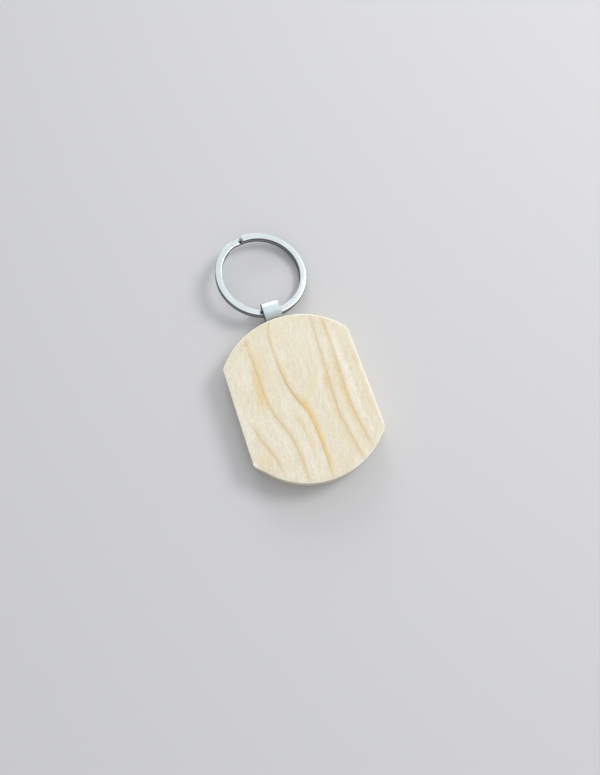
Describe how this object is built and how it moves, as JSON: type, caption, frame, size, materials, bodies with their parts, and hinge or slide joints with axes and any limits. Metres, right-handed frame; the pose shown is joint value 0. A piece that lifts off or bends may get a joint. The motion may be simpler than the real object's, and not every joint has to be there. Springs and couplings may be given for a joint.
{
  "type": "wooden keychain",
  "caption": "Round-ended wooden tag with straight sides, a folded metal strap in its top edge, and a flat split key ring that swings in the strap's loop.",
  "frame": {"origin": "middle of the tag's back face, which lies on the table", "axes": "+Y along the tag's long axis towards the key ring, +Z out of the tag's front face, +X to the right when the front face is seen with the ring at the top"},
  "size_m": [0.0384, 0.0802, 0.007],
  "materials": {
    "pale_hardwood": "fine sanded, unvarnished",
    "strap_nickel": "satin nickel plate",
    "cured_glue": "clear amber, hard",
    "ring_nickel": "bright nickel plate, lightly worn"
  },
  "bodies": {
    "tag": {"wooden_tag": "pale_hardwood", "strap_loop": "strap_nickel", "glue_fill": "cured_glue"},
    "ring": {"split_ring": "ring_nickel"}
  },
  "joints": [
    {"name": "ring_swing", "type": "hinge", "parent": "tag", "child": "ring", "pos_m": [0, 0.0284, 0.0034], "axis": [1, 0, 0], "range_deg": [-120, 118]}
  ]
}
